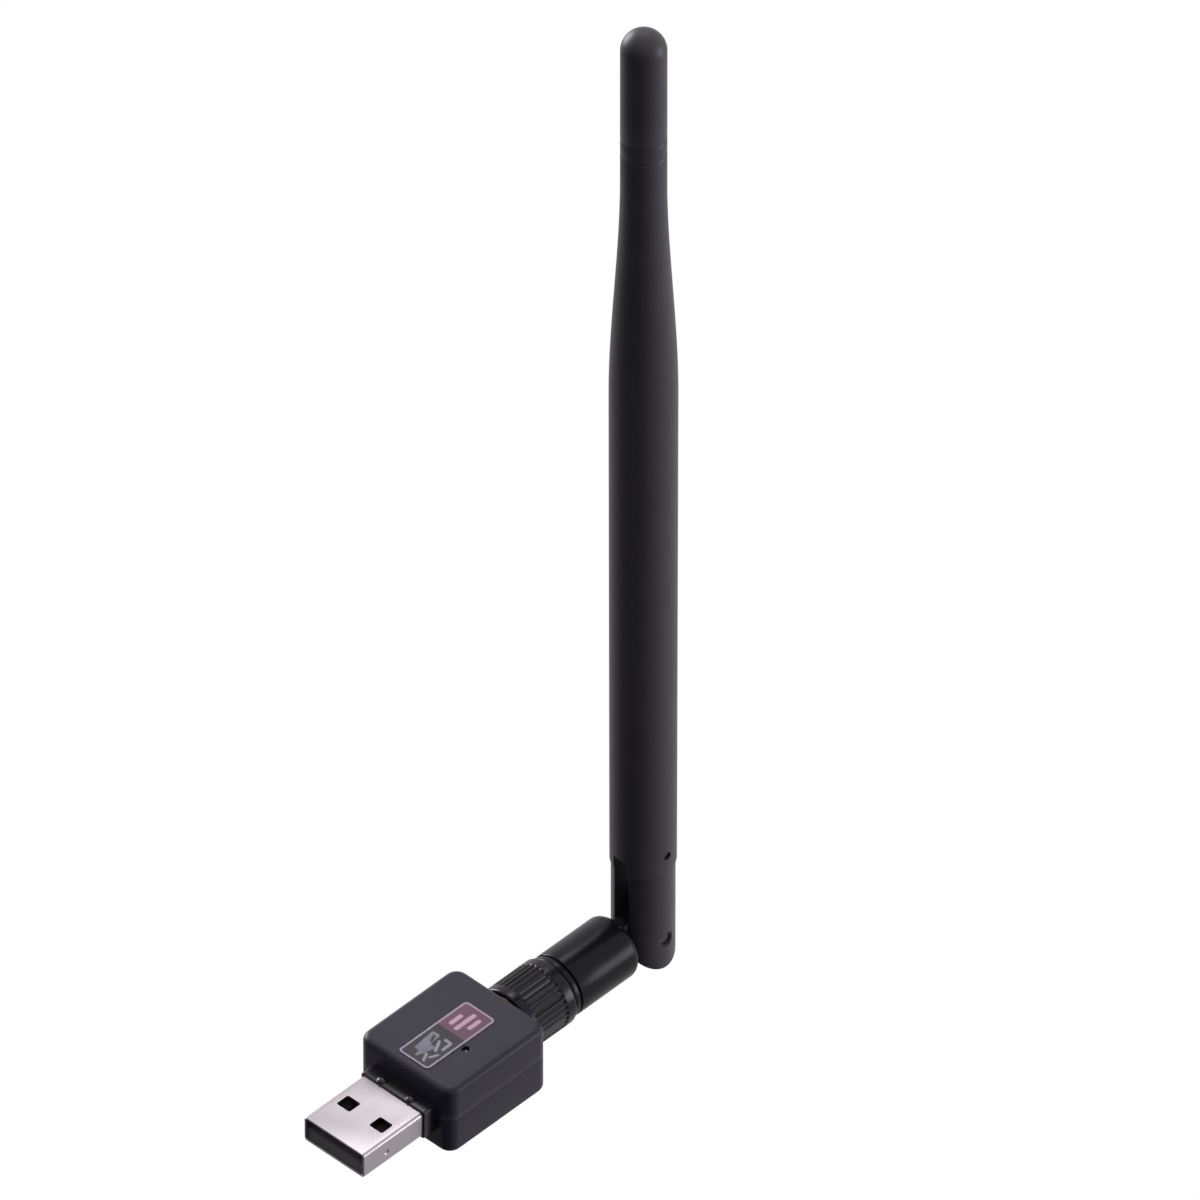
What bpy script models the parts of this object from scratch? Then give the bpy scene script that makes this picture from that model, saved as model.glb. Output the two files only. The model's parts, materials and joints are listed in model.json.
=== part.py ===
"""USB WiFi adapter with a folding, swivelling antenna, as an assembly of separate parts.

The plug points along -Y, the label faces +Z and the antenna stands up along +Z, folded square to its
barrel. The origin is on the plug's axis, where its bare metal ends and the collar begins.
Sizes are in millimetres; MM turns them into Blender's metres.
"""

import math

import bmesh
import bpy
from mathutils import Matrix, Vector

MM = 0.001
WELD = 1e-7  # in metres, for points that coincide

# Clearances
FIT = 0.05  # between parts fastened to each other
RUN = 0.08  # between parts that turn in each other

# USB plug
PLUG_WIDTH, PLUG_HEIGHT, PLUG_WALL = 12.0, 4.5, 0.3
PLUG_BARE = 12.7  # metal that enters the port
PLUG_BURIED = 5.5  # metal inside the casing
WINDOW_WIDTH, WINDOW_LENGTH, WINDOW_OFFSET = 2.6, 2.4, 3.25
WINDOW_FROM_MOUTH = 6.4
CONTACT_PITCH, CONTACT_THICK = 2.3, 0.22
COLLAR_HALF_WIDTH, COLLAR_HALF_HEIGHT = 6.35, 2.6

# Casing
BODY_WIDTH, BODY_LENGTH = 18.6, 20.6
BODY_TOP, BODY_BOTTOM = 6.45, -5.85
BODY_FRONT = 1.8
BODY_BACK = BODY_FRONT + BODY_LENGTH
WALL = 1.2
UPRIGHT_RADIUS, RIM_RADIUS = 2.0, 1.0
SPLIT_GAP = 0.06

# Label and status light
LABEL_WIDTH, LABEL_LENGTH, LABEL_THICK = 6.1, 14.4, 0.12
LABEL_X, LABEL_Y = 0.15, 10.65
LIGHT_X, LIGHT_Y, LIGHT_RADIUS = 4.1, 10.5, 0.6

# Circuit board
BOARD_TOP, BOARD_THICK = -0.05, 0.8
BOARD_FRONT, BOARD_BACK, BOARD_WIDTH = 5.8, 19.3, 14.2

# Antenna connector, on an axis along Y
AXIS_Z = 0.5
THREAD_RADIUS, THREAD_PITCH = 3.175, 0.706
JACK_FACE = 29.9
FLANGE_BACK = BODY_BACK - WALL - FIT
FLANGE_START = FLANGE_BACK - 1.6
RING_START, RING_END = 31.2, 31.6
NUT_START, NUT_END, NUT_RADIUS = 22.9, 32.4, 5.5
RIDGE_START, RIDGE_END, RIDGE_COUNT, RIDGE_DEPTH = 24.4, 30.6, 36, 0.3
COLLAR_START, COLLAR_END, COLLAR_RADIUS = 32.6, 33.6, 5.1
FERRULE_RADIUS, NOSE_START = 3.0, 28.2
BARREL_START, BARREL_END, BARREL_RADIUS = 33.85, 46.2, 5.12
BARREL_DOME = 1.3
COAX_RADIUS = 0.565

# Folding hinge, on an axis along X
HINGE_Y = 51.8
FORK_RADIUS, FORK_DROP = 4.7, 0.6
SLOT_WIDTH, SLOT_ROOF = 2.9, 16.0
TONGUE_WIDTH, TONGUE_RADIUS, TONGUE_NECK = 2.7, 4.5, 3.8
PIN_RADIUS = 1.0

# Antenna, heights above the hinge
SHEATH_START, SHEATH_RADIUS, SHOULDER_RADIUS, NECK_RADIUS = 13.4, 4.9, 5.03, 3.4
SHOULDER_START, SHOULDER_END = 105.0, 146.0
TIP_CENTRE = 171.4
NECK_GROOVES = (152.1, 154.9)
SPIGOT_RADIUS, SPIGOT_END = 3.9, 24.0
NUB_HEIGHT, NUB_RADIUS = 16.7, 0.55
COIL_START = 104.0


def clear_scene():
    for obj in list(bpy.data.objects):
        bpy.data.objects.remove(obj, do_unlink=True)


def new_collection(name):
    made = bpy.data.collections.new(name)
    bpy.context.scene.collection.children.link(made)
    return made


def material(name, colour, roughness, metallic=0.0):
    made = bpy.data.materials.new(name)
    made.use_nodes = True
    surface = made.node_tree.nodes["Principled BSDF"]
    surface.inputs["Base Color"].default_value = (*colour, 1.0)
    surface.inputs["Roughness"].default_value = roughness
    surface.inputs["Metallic"].default_value = metallic
    made.diffuse_color = (*colour, 1.0)
    return made


def pivot(name, where, parent=None):
    """An empty on a joint's axis; `where` is in the parent's own millimetres."""
    empty = bpy.data.objects.new(name, None)
    empty.empty_display_size = 5 * MM
    empty.location = Vector(where) * MM
    empty.parent = parent
    PARTS.objects.link(empty)
    return empty


def place(name, shape, finish, parent=None, smooth=False):
    """Turns a bmesh into a part of the adapter."""
    mesh = bpy.data.meshes.new(name)
    bmesh.ops.recalc_face_normals(shape, faces=shape.faces)
    shape.to_mesh(mesh)
    shape.free()
    obj = bpy.data.objects.new(name, mesh)
    obj.parent = parent
    mesh.materials.append(finish)
    if smooth:
        mesh.shade_auto_smooth() if hasattr(mesh, "shade_auto_smooth") else mesh.shade_smooth()
    PARTS.objects.link(obj)
    return obj


def combine(target, operation, *shapes):
    """Adds one Boolean to `target` for each bmesh, which is kept as a hidden helper in the same frame."""
    for shape in shapes:
        mesh = bpy.data.meshes.new("cutter")
        bmesh.ops.recalc_face_normals(shape, faces=shape.faces)
        shape.to_mesh(mesh)
        shape.free()
        helper = bpy.data.objects.new(f"{target.name}_{operation.lower()}", mesh)
        helper.parent = target.parent
        helper.hide_render = True
        helper.display_type = "WIRE"
        CUTTERS.objects.link(helper)
        modifier = target.modifiers.new(operation.title(), "BOOLEAN")
        modifier.operation = operation
        modifier.solver = "EXACT"
        modifier.object = helper
    return target


def cut(target, *shapes):
    return combine(target, "DIFFERENCE", *shapes)


def join(target, *shapes):
    return combine(target, "UNION", *shapes)


def block(low, high, upright=0.0, rims="", rim=0.0, steps=6):
    """A box between two corners. `upright` rounds its vertical edges, `rim` those round its top or bottom."""
    low, high = Vector(low) * MM, Vector(high) * MM
    shape = bmesh.new()
    bmesh.ops.create_cube(shape, size=1.0)
    bmesh.ops.scale(shape, vec=high - low, verts=shape.verts)
    bmesh.ops.translate(shape, vec=(high + low) / 2, verts=shape.verts)
    if upright:
        edges = [e for e in shape.edges if abs(e.verts[0].co.z - e.verts[1].co.z) > 1e-7]
        round_edges(shape, edges, upright, steps)
    for side in rims:
        level = high.z if side == "t" else low.z
        edges = [e for e in shape.edges if all(abs(v.co.z - level) < 1e-7 for v in e.verts)]
        round_edges(shape, edges, rim, 4)
    return shape


def round_edges(shape, edges, radius, steps):
    bmesh.ops.bevel(shape, geom=edges, offset=radius * MM, segments=steps, profile=0.5, affect="EDGES",
                    clamp_overlap=True)


def axis_matrix(axis):
    """Turns a shape made along Z so that it lies along the named axis."""
    turns = {"X": Matrix.Rotation(math.pi / 2, 4, "Y"), "Y": Matrix.Rotation(-math.pi / 2, 4, "X")}
    return turns.get(axis, Matrix.Identity(4))


def rod(radius, start, end, axis="Y", centre=(0.0, 0.0), steps=32):
    """A cylinder along `axis`; `centre` gives its other two coordinates, in X, Y, Z order."""
    shape = bmesh.new()
    bmesh.ops.create_cone(shape, cap_ends=True, segments=steps, radius1=radius * MM, radius2=radius * MM,
                          depth=(end - start) * MM)
    middle = (start + end) / 2
    where = {"X": (middle, *centre), "Y": (centre[0], middle, centre[1]), "Z": (*centre, middle)}[axis]
    bmesh.ops.transform(shape, matrix=axis_matrix(axis), verts=shape.verts)
    bmesh.ops.translate(shape, vec=Vector(where) * MM, verts=shape.verts)
    return shape


def turned(profile, axis="Y", steps=48):
    """A lathe shape from (radius, position) points. A profile off the axis at both ends closes on itself."""
    edges = [(step, step + 1) for step in range(len(profile) - 1)]
    if profile[0][0] > 0 and profile[-1][0] > 0:
        edges.append((len(profile) - 1, 0))
    mesh = bpy.data.meshes.new("profile")
    mesh.from_pydata([(radius * MM, 0.0, along * MM) for radius, along in profile], edges, [])
    holder = bpy.data.objects.new("profile", mesh)
    CUTTERS.objects.link(holder)
    screw = holder.modifiers.new("Screw", "SCREW")
    screw.axis = "Z"
    screw.steps = steps
    screw.render_steps = steps
    screw.use_merge_vertices = True
    screw.merge_threshold = WELD
    shape = bmesh.new()
    shape.from_object(holder, bpy.context.evaluated_depsgraph_get())
    bpy.data.objects.remove(holder, do_unlink=True)
    bmesh.ops.transform(shape, matrix=axis_matrix(axis), verts=shape.verts)
    return shape


def tube(outer, inner, start, end, axis="Y", steps=48):
    return turned([(outer, start), (outer, end), (inner, end), (inner, start)], axis, steps)


def eased(corners, steps):
    """A Catmull-Rom route through the corners, as points."""
    knots = [Vector(corner) for corner in (corners[0], *corners, corners[-1])]
    route = []
    for before, start, end, after in zip(knots, knots[1:], knots[2:], knots[3:]):
        for step in range(steps):
            t = step / steps
            route.append(0.5 * (2 * start + (end - before) * t + (2 * before - 5 * start + 4 * end - after) * t**2
                                + (3 * start - before - 3 * end + after) * t**3))
    return [*route, knots[-1]]


def wire(route, radius):
    """A round wire along a route of points, as a closed mesh."""
    curve = bpy.data.curves.new("wire", "CURVE")
    curve.dimensions = "3D"
    curve.bevel_depth = radius * MM
    curve.bevel_resolution = 2
    curve.use_fill_caps = True
    line = curve.splines.new("POLY")
    line.points.add(len(route) - 1)
    for knot, point in zip(line.points, route):
        knot.co = (*(Vector(point) * MM), 1.0)
    holder = bpy.data.objects.new("wire", curve)
    CUTTERS.objects.link(holder)
    shape = bmesh.new()
    shape.from_mesh(bpy.data.meshes.new_from_object(holder))
    bmesh.ops.remove_doubles(shape, verts=shape.verts, dist=WELD)
    bpy.data.objects.remove(holder, do_unlink=True)
    return shape


def arc(radius, centre, start, end, steps):
    """Points of an arc as (radius, position) pairs; angles in degrees from the position axis."""
    angles = [math.radians(start + (end - start) * i / steps) for i in range(steps + 1)]
    return [(centre[0] + radius * math.sin(a), centre[1] + radius * math.cos(a)) for a in angles]


# USB plug ---------------------------------------------------------------------------------------------


def sleeve_block(grow, start, end, radius):
    """The plug's rounded rectangular section, grown outwards by `grow`, running from start to end along Y."""
    half_width, half_height = PLUG_WIDTH / 2 + grow, PLUG_HEIGHT / 2 + grow
    shape = block((-half_width, -half_height, start), (half_width, half_height, end), radius, steps=4)
    bmesh.ops.transform(shape, matrix=Matrix.Rotation(-math.pi / 2, 4, "X"), verts=shape.verts)
    return shape


def usb_plug_shell():
    shell = place("usb_plug_shell", sleeve_block(0.0, -PLUG_BARE, PLUG_BURIED, 0.6), STEEL)
    cut(shell, sleeve_block(-PLUG_WALL, -PLUG_BARE - 1, PLUG_BURIED + 1, 0.3))
    window_y = WINDOW_FROM_MOUTH - PLUG_BARE
    for x in (-WINDOW_OFFSET, WINDOW_OFFSET):
        low = (x - WINDOW_WIDTH / 2, window_y - WINDOW_LENGTH / 2, -PLUG_HEIGHT)
        high = (x + WINDOW_WIDTH / 2, window_y + WINDOW_LENGTH / 2, PLUG_HEIGHT)
        cut(shell, block(low, high, upright=0.15, steps=2))
    for side in (-1, 1):
        dimple = bmesh.new()
        bmesh.ops.create_uvsphere(dimple, u_segments=16, v_segments=10, radius=0.7 * MM)
        bmesh.ops.translate(dimple, vec=Vector((side * (PLUG_WIDTH / 2 + 0.58), -8.0, -0.2)) * MM,
                            verts=dimple.verts)
        cut(shell, dimple)
    return shell


def plug_insulator():
    """Tongue under the contacts, with a bar behind it that closes the shell off."""
    body = sleeve_block(-PLUG_WALL - FIT, 0.4 - PLUG_BARE, PLUG_BURIED, 0.3)
    insulator = place("plug_insulator", body, WHITE_PLASTIC)
    ahead = block((-7, -PLUG_BARE - 1, -0.02), (7, -0.4, 3))
    behind = block((-7, 1.8, -0.02), (7, PLUG_BURIED + 1, 3))
    return cut(insulator, ahead, behind)


def plug_contacts(insulator):
    """Four spring strips: the outer two are longer, so that power connects before data."""
    names = ("contact_power", "contact_data_minus", "contact_data_plus", "contact_ground")
    for number, name in enumerate(names):
        x = (number - 1.5) * CONTACT_PITCH
        front = -PLUG_BARE + (1.3 if number in (0, 3) else 2.3)
        low, high = (x - 0.5, front, 0.03), (x + 0.5, 7.2, 0.03 + CONTACT_THICK)
        place(name, block(low, high), GOLD)
        passage = block((x - 0.55, -1.0, -0.02), (x + 0.55, 2.4, 0.09 + CONTACT_THICK))
        cut(insulator, passage)


def plug_collar():
    half_width, half_height = COLLAR_HALF_WIDTH, COLLAR_HALF_HEIGHT
    outer = block((-half_width, -0.5, -half_height), (half_width, 3.3, half_height))
    collar = place("plug_collar", outer, GLOSS_BLACK)
    join(collar, block((-6.3, 3.2, -3.2), (6.3, 3.9, 3.2)))
    for x in (-2.85, 2.85):
        pip = bmesh.new()
        bmesh.ops.create_uvsphere(pip, u_segments=20, v_segments=12, radius=0.8 * MM)
        bmesh.ops.scale(pip, vec=(1.0, 1.0, 0.6), verts=pip.verts)
        bmesh.ops.translate(pip, vec=Vector((x, 0.3, half_height)) * MM, verts=pip.verts)
        join(collar, pip)
    return cut(collar, sleeve_block(FIT, -2.0, PLUG_BURIED, 0.6))


# Casing -----------------------------------------------------------------------------------------------


def casing_block(inset, low, high, rims=""):
    corner = (BODY_WIDTH / 2 - inset, BODY_BACK - inset, high)
    return block((-corner[0], BODY_FRONT + inset, low), corner, UPRIGHT_RADIUS - inset, rims, RIM_RADIUS)


def casing_openings():
    """The plug's rectangular hole in the front wall and the jack's round one in the back wall."""
    half_width, half_height = COLLAR_HALF_WIDTH + FIT, COLLAR_HALF_HEIGHT + FIT
    front = block((-half_width, 0.0, -half_height), (half_width, BODY_FRONT + WALL + 0.2, half_height))
    back = rod(THREAD_RADIUS + 0.1, BODY_BACK - WALL - 0.5, BODY_BACK + 1, centre=(0.0, AXIS_Z), steps=48)
    return front, back


def housing_top():
    low = AXIS_Z + SPLIT_GAP / 2
    top = place("housing_top", casing_block(0.0, low, BODY_TOP, "t"), CASE_BLACK)
    cut(top, casing_block(WALL, low - 1, BODY_TOP - WALL))
    join(top, *[block((x - 0.4, y - 0.4, 0.0), (x + 0.4, y + 0.4, BODY_TOP - 0.6))
                for x in (-6.0, 6.0) for y in (7.0, 15.8)])
    cut(top, *casing_openings())
    x, y = LABEL_X, LABEL_Y
    recess = block((x - LABEL_WIDTH / 2 - FIT, y - LABEL_LENGTH / 2 - FIT, BODY_TOP - 0.1),
                   (x + LABEL_WIDTH / 2 + FIT, y + LABEL_LENGTH / 2 + FIT, BODY_TOP + 1), upright=0.75)
    lamp_hole = rod(LIGHT_RADIUS + FIT, BODY_TOP - 2 * WALL, BODY_TOP + 1, "Z", (LIGHT_X, LIGHT_Y), 24)
    return cut(top, recess, lamp_hole)


def housing_bottom():
    high = AXIS_Z - SPLIT_GAP / 2
    bottom = place("housing_bottom", casing_block(0.0, BODY_BOTTOM, high, "b"), CASE_BLACK)
    cut(bottom, casing_block(WALL, BODY_BOTTOM + WALL, high + 1))
    inner = BODY_WIDTH / 2 - WALL
    for side in (-1, 1):
        for low_x, high_x, low_z, high_z in (
            (inner - 0.65, inner + 0.2, 0.0, high),
            (inner - 0.65, inner - RUN, high - 0.1, high + 0.8),
            (5.2, 6.2, BODY_BOTTOM + 0.5, BOARD_TOP - BOARD_THICK - FIT),
        ):
            xs = sorted((side * low_x, side * high_x))
            join(bottom, block((xs[0], 6.5, low_z), (xs[1], 18.0, high_z)))
    return cut(bottom, *casing_openings())


def label_plate():
    x, y = LABEL_X, LABEL_Y
    low = BODY_TOP - 0.1 + FIT
    shape = block((x - LABEL_WIDTH / 2, y - LABEL_LENGTH / 2, low),
                  (x + LABEL_WIDTH / 2, y + LABEL_LENGTH / 2, low + LABEL_THICK), upright=0.7)
    return place("label_plate", shape, LABEL_PRINT)


def light_pipe():
    flange = BODY_TOP - WALL - FIT
    profile = [(0.0, BODY_TOP - 0.3), (LIGHT_RADIUS, BODY_TOP - 0.3), (LIGHT_RADIUS, flange),
               (LIGHT_RADIUS + 0.5, flange), (LIGHT_RADIUS + 0.5, flange - 0.6), (LIGHT_RADIUS, flange - 0.6),
               (LIGHT_RADIUS, 1.0), (0.0, 1.0)]
    shape = turned(profile, "Z", 24)
    bmesh.ops.translate(shape, vec=Vector((LIGHT_X, LIGHT_Y, 0.0)) * MM, verts=shape.verts)
    return place("light_pipe", shape, SMOKED, smooth=True)


# Circuit board ----------------------------------------------------------------------------------------


def circuit_board():
    half = BOARD_WIDTH / 2
    low = (-half, BOARD_FRONT, BOARD_TOP - BOARD_THICK)
    return place("circuit_board", block(low, (half, BOARD_BACK, BOARD_TOP), upright=0.4, steps=2), BOARD_GREEN)


def board_part(name, finish, where, size, underneath=False):
    """A package that sits on the board, or hangs under it, centred at `where` = (x, y)."""
    (x, y), (width, length, height) = where, size
    base = BOARD_TOP - BOARD_THICK - FIT - height if underneath else BOARD_TOP + FIT
    low = (x - width / 2, y - length / 2, base)
    return place(name, block(low, (x + width / 2, y + length / 2, base + height)), finish)


def board_parts():
    board_part("wifi_chip", CHIP_BLACK, (-1.2, 12.1), (6.0, 6.0, 0.9))
    board_part("memory_chip", CHIP_BLACK, (0.0, 12.5), (4.9, 3.9, 1.4), underneath=True)
    board_part("voltage_regulator", CHIP_BLACK, (-5.3, 11.5), (1.6, 2.9, 1.1))
    board_part("crystal_can", STEEL, (4.3, 13.4), (2.5, 3.2, 0.7))
    board_part("status_led", WHITE_PLASTIC, (LIGHT_X, LIGHT_Y), (0.8, 1.6, 0.6))
    board_part("matching_inductor", CERAMIC, (0.0, 16.5), (1.0, 0.6, 0.5))
    for number, where in enumerate(((-1.2, 8.2), (1.2, 8.2), (-5.2, 17.6), (5.2, 17.6)), start=1):
        board_part(f"capacitor_{number}", CERAMIC, where, (1.6, 0.8, 0.8))


# Antenna connector ------------------------------------------------------------------------------------


def thread_profile(start, end):
    """The jack's thread as rings: a lathe profile from `start` to `end` with its crests at full radius."""
    points = []
    turns = int((end - start) / THREAD_PITCH)
    for turn in range(turns):
        base = start + turn * THREAD_PITCH
        points += [(THREAD_RADIUS, base), (THREAD_RADIUS, base + THREAD_PITCH * 0.35),
                   (THREAD_RADIUS - 0.3, base + THREAD_PITCH * 0.65)]
    return points + [(THREAD_RADIUS, end - 0.1), (THREAD_RADIUS - 0.2, end)]


def jack_body(axis):
    socket, bore = 2.35, 2.05
    profile = [(bore, FLANGE_START), (THREAD_RADIUS, FLANGE_START), *thread_profile(BODY_BACK + 0.4, JACK_FACE),
               (socket, JACK_FACE), (socket, JACK_FACE - 1.9), (bore, JACK_FACE - 1.9)]
    jack = place("jack_body", turned(profile, steps=32), BRASS, axis)
    flange = block((-3.2, FLANGE_START, -3.2), (3.2, FLANGE_BACK, 3.2))
    join(jack, flange)
    top = BOARD_TOP - AXIS_Z
    for x in (-2.6, 2.6):
        for low in (top + FIT, top - BOARD_THICK - FIT - 0.9):
            join(jack, block((x - 0.45, 16.7, low), (x + 0.45, FLANGE_START + 0.2, low + 0.9)))
    return cut(jack, rod(bore + 0.03, FLANGE_START - 0.5, FLANGE_BACK + 0.3, steps=48))


def jack_insulator(axis):
    return place("jack_insulator", tube(2.0, 0.5, FLANGE_START + 0.1, JACK_FACE - 1.95, steps=24), WHITE_PLASTIC, axis)


def jack_pin(axis):
    """The centre pin: a gold rod with a flat tail that lies on the board."""
    profile = [(0.0, 19.0), (0.45, 19.0), (0.45, JACK_FACE - 0.8), (0.25, JACK_FACE - 0.3), (0.0, JACK_FACE - 0.3)]
    pin = place("jack_pin", turned(profile, steps=16), GOLD, axis, smooth=True)
    tail = block((-0.3, 17.8, BOARD_TOP - AXIS_Z + FIT), (0.3, 19.3, 0.3))
    return join(pin, tail)


def coupling_sleeve(axis):
    """The ridged outer sleeve: alternate points of its ridged stretch are drawn in by a loop."""
    inner, edge = 4.35, 0.45
    profile = [(inner, NUT_START), (NUT_RADIUS - edge, NUT_START), (NUT_RADIUS, NUT_START + edge),
               (NUT_RADIUS, RIDGE_START - 0.15), (NUT_RADIUS, RIDGE_START), (NUT_RADIUS, RIDGE_END),
               (NUT_RADIUS, RIDGE_END + 0.15), (NUT_RADIUS, NUT_END - edge), (NUT_RADIUS - edge, NUT_END),
               (inner, NUT_END)]
    shape = turned(profile, steps=2 * RIDGE_COUNT)
    for vert in shape.verts:
        along = vert.co.y / MM
        angle = math.atan2(vert.co.z, vert.co.x) / (math.pi / RIDGE_COUNT)
        radius = math.hypot(vert.co.x, vert.co.z) / MM
        if radius > inner + 0.5 and RIDGE_START - 0.01 < along < RIDGE_END + 0.01 and round(angle) % 2:
            vert.co.x *= 1 - RIDGE_DEPTH / radius
            vert.co.z *= 1 - RIDGE_DEPTH / radius
    return place("coupling_sleeve", shape, SOFT_BLACK, axis)


def coupling_insert(axis):
    """Brass nut inside the sleeve: bored for the jack's thread, then grooved for the retaining ring."""
    outer, thread, lip, groove = 4.3, THREAD_RADIUS + RUN, FERRULE_RADIUS + RUN, 3.7
    profile = [(thread, NUT_START + 0.2), (outer, NUT_START + 0.2), (outer, NUT_END - 0.1),
               (lip, NUT_END - 0.1), (lip, RING_END + 0.2), (groove, RING_END + 0.2), (groove, RING_START - 0.2),
               (thread, RING_START - 0.2)]
    return place("coupling_insert", turned(profile, steps=40), BRASS, axis)


def retaining_ring(axis):
    ring = place("retaining_ring", tube(3.6, 2.75, RING_START, RING_END, steps=32), STEEL, axis)
    return cut(ring, block((-0.6, RING_START - 1, 0.0), (0.6, RING_END + 1, 5.0)))


def plug_ferrule(axis):
    """Outer conductor of the antenna's plug: a nose in the jack, a ring groove and a crimped tail."""
    nose, bore, tail_bore = 2.27, 1.9, COAX_RADIUS + 0.1
    profile = [(bore, NOSE_START), (nose, NOSE_START), (nose, JACK_FACE + 0.1), (FERRULE_RADIUS, JACK_FACE + 0.1),
               (FERRULE_RADIUS, RING_START - 0.1), (2.7, RING_START - 0.1), (2.7, RING_END + 0.1),
               (FERRULE_RADIUS, RING_END + 0.1), (FERRULE_RADIUS, 37.2), (1.6, 37.2), (1.6, 39.2),
               (tail_bore, 39.2), (tail_bore, 34.3), (bore, 34.3)]
    return place("plug_ferrule", turned(profile, steps=40), BRASS, axis)


def ferrule_insulator(axis):
    return place("ferrule_insulator", tube(1.85, 0.78, NOSE_START + 0.2, 34.2, steps=24), WHITE_PLASTIC, axis)


def centre_socket(axis):
    profile = [(0.0, 34.0), (0.72, 34.0), (0.72, NOSE_START + 0.3), (0.52, NOSE_START + 0.3), (0.52, 31.2),
               (0.0, 31.2)]
    return place("centre_socket", turned(profile, steps=20), GOLD, axis)


def swivel_collar(axis):
    inner, edge = FERRULE_RADIUS + FIT, 0.15
    profile = [(inner, COLLAR_START), (COLLAR_RADIUS - edge, COLLAR_START),
               (COLLAR_RADIUS, COLLAR_START + edge), (COLLAR_RADIUS, COLLAR_END - edge),
               (COLLAR_RADIUS - edge, COLLAR_END), (inner, COLLAR_END)]
    return place("swivel_collar", turned(profile), GLOSS_BLACK, axis, smooth=True)


def swivel_barrel(axis):
    """Hollow barrel with a domed end and the hinge's tongue, slotted so that the cable can pass the pin."""
    edge, bore = 0.2, FERRULE_RADIUS + FIT
    dome = arc(BARREL_DOME, (BARREL_RADIUS - BARREL_DOME - 0.04, BARREL_END - BARREL_DOME), 0, 90, 5)
    profile = [(0.0, BARREL_END), *dome, (BARREL_RADIUS, BARREL_START + edge),
               (BARREL_RADIUS - edge, BARREL_START), (bore, BARREL_START), (bore, BARREL_END - 2.2),
               (0.0, BARREL_END - 2.2)]
    barrel = place("swivel_barrel", turned(profile), GLOSS_BLACK, axis)
    half, reach = TONGUE_WIDTH / 2, HINGE_Y
    neck = block((-half, BARREL_END - 1.0, -TONGUE_NECK), (half, reach - 2.0, TONGUE_NECK))
    join(barrel, rod(TONGUE_RADIUS, -half, half, "X", (reach, 0.0), 48), neck)
    tunnel = block((-0.75, BARREL_END - 3.0, 1.3), (0.75, reach - 3.0, 2.75))
    slot = block((-0.75, BARREL_END + 0.6, 1.3), (0.75, reach + 6.0, 6.0))
    return cut(barrel, tunnel, slot, rod(PIN_RADIUS + RUN, -3.0, 3.0, "X", (reach, 0.0), 32))


def barrel_coax(axis):
    """Cable from the ferrule, over the hinge pin, bent up between the tongue's cheeks to just short of its rim."""
    route = [(0, 34.7, 0), (0, 37.0, 0), (0, 39.3, 0), (0, BARREL_END - 4.2, 1.6), (0, BARREL_END - 1.2, 2.02),
             (0, HINGE_Y - 3.4, 2.02), (0, HINGE_Y - 2.1, 2.6), (0, HINGE_Y - 1.95, TONGUE_RADIUS - 0.2)]
    return place("barrel_coax", wire(eased(route, 6), COAX_RADIUS), CABLE_GREY, axis, smooth=True)


# Antenna ----------------------------------------------------------------------------------------------


def hinge_pin(axis):
    profile = [(0.0, -4.55), (PIN_RADIUS, -4.55), (PIN_RADIUS, 4.45), (PIN_RADIUS - 0.2, 4.6), (0.0, 4.6)]
    shape = turned(profile, "Z", 32)
    bmesh.ops.transform(shape, matrix=axis_matrix("X"), verts=shape.verts)
    return place("hinge_pin", shape, STEEL, axis, smooth=True)


def antenna_fork(axis):
    """Round rod rounded off a little below the hinge, slotted for the tongue, with a spigot for the sheath."""
    bore, edge = COAX_RADIUS + 0.25, 0.2
    base = -FORK_RADIUS - 1
    profile = [(bore, base), (FORK_RADIUS, base), (FORK_RADIUS, SHEATH_START - FIT),
               (SPIGOT_RADIUS, SHEATH_START - FIT), (SPIGOT_RADIUS, SPIGOT_END - edge),
               (SPIGOT_RADIUS - edge, SPIGOT_END), (bore, SPIGOT_END)]
    fork = place("antenna_fork", turned(profile, "Z"), GLOSS_BLACK, axis)
    envelope = rod(FORK_RADIUS, -8, 8, "X", steps=48)
    for vert in envelope.verts:
        vert.co.z += (SPIGOT_END + 10 if vert.co.z > WELD else -FORK_DROP) * MM
    combine(fork, "INTERSECT", envelope)
    half = SLOT_WIDTH / 2
    slot = block((-half, -8, base - 1), (half, 8, SLOT_ROOF))
    recess = rod(PIN_RADIUS + 0.35, FORK_RADIUS - 0.25, FORK_RADIUS + 1, "X", steps=32)
    cut(fork, slot, rod(PIN_RADIUS + 0.03, -8, 8, "X", steps=32), recess)
    nub = rod(NUB_RADIUS, SPIGOT_RADIUS - 0.4, SHEATH_RADIUS - 0.18, "X", (0.0, NUB_HEIGHT), 20)
    return join(fork, nub)


def sheath_radius(height):
    """Outer radius of the sheath below its tip, tapering a little, then drawn in to the neck in an S."""
    if height < SHOULDER_START:
        share = (height - SHEATH_START) / (SHOULDER_START - SHEATH_START)
        return SHEATH_RADIUS + (SHOULDER_RADIUS - SHEATH_RADIUS) * share
    share = min((height - SHOULDER_START) / (SHOULDER_END - SHOULDER_START), 1.0)
    blend = share * share * (3 - 2 * share)
    return SHOULDER_RADIUS + (NECK_RADIUS - SHOULDER_RADIUS) * blend


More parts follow.
